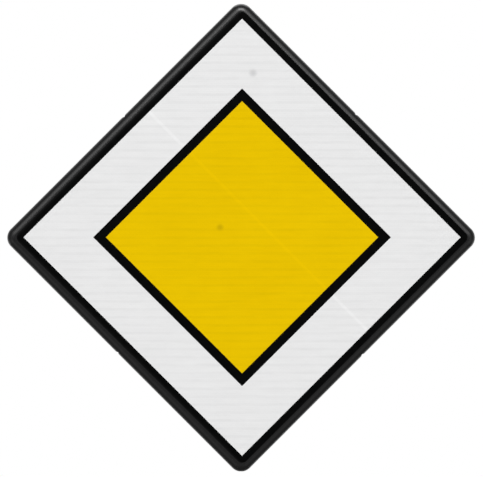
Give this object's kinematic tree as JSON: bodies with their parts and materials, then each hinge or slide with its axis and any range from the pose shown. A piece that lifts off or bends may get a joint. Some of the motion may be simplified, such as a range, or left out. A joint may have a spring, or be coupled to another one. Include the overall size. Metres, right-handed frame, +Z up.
{
  "type": "priority road sign",
  "caption": "Square road sign on its corner: black rolled-rim pan faced with white, black and yellow films, on rear channel rails that slide on post clamps with releasable straps.",
  "frame": {"origin": "on the axis of the post, midway between the two clamps, at the height of the sign's centre", "axes": "+Z up along the post, +X to the right as seen from the front, the face of the sign looks towards -Y"},
  "size_m": [0.8302, 0.101, 0.8303],
  "materials": {
    "black_coat": "satin",
    "white_sheet": "satin",
    "yellow_film": "satin",
    "black_film": "satin",
    "extruded_aluminium": "satin",
    "rivet_aluminium": "satin",
    "cast_aluminium": "matte",
    "zinc_plated_steel": "satin",
    "black_steel": "satin",
    "lock_ring_plastic": "matte"
  },
  "bodies": {
    "post_clamps": {"upper_saddle": "cast_aluminium", "lower_saddle": "cast_aluminium", "upper_channel_bolts": "zinc_plated_steel", "lower_channel_bolts": "zinc_plated_steel"},
    "panel": {"pan": "black_coat", "white_sheeting": "white_sheet", "yellow_overlay": "yellow_film", "inner_black_border": "black_film", "outer_black_border": "black_film", "upper_rail": "extruded_aluminium", "lower_rail": "extruded_aluminium", "upper_rail_rivets": "rivet_aluminium", "lower_rail_rivets": "rivet_aluminium"},
    "upper_strap_set": {"upper_strap": "zinc_plated_steel", "upper_washers": "zinc_plated_steel", "upper_lock_nuts": "zinc_plated_steel", "upper_nut_rings": "lock_ring_plastic", "upper_weld_nut": "zinc_plated_steel", "upper_set_screw": "black_steel"},
    "lower_strap_set": {"lower_strap": "zinc_plated_steel", "lower_washers": "zinc_plated_steel", "lower_lock_nuts": "zinc_plated_steel", "lower_nut_rings": "lock_ring_plastic", "lower_weld_nut": "zinc_plated_steel", "lower_set_screw": "black_steel"}
  },
  "joints": [
    {"name": "panel_slide", "type": "slide", "parent": "post_clamps", "child": "panel", "axis": [1, 0, 0], "range_m": [-0.12, 0.12]},
    {"name": "upper_strap_release", "type": "slide", "parent": "post_clamps", "child": "upper_strap_set", "axis": [0, 1, 0], "range_m": [0, 0.012]},
    {"name": "lower_strap_release", "type": "slide", "parent": "post_clamps", "child": "lower_strap_set", "axis": [0, 1, 0], "range_m": [0, 0.012]}
  ]
}
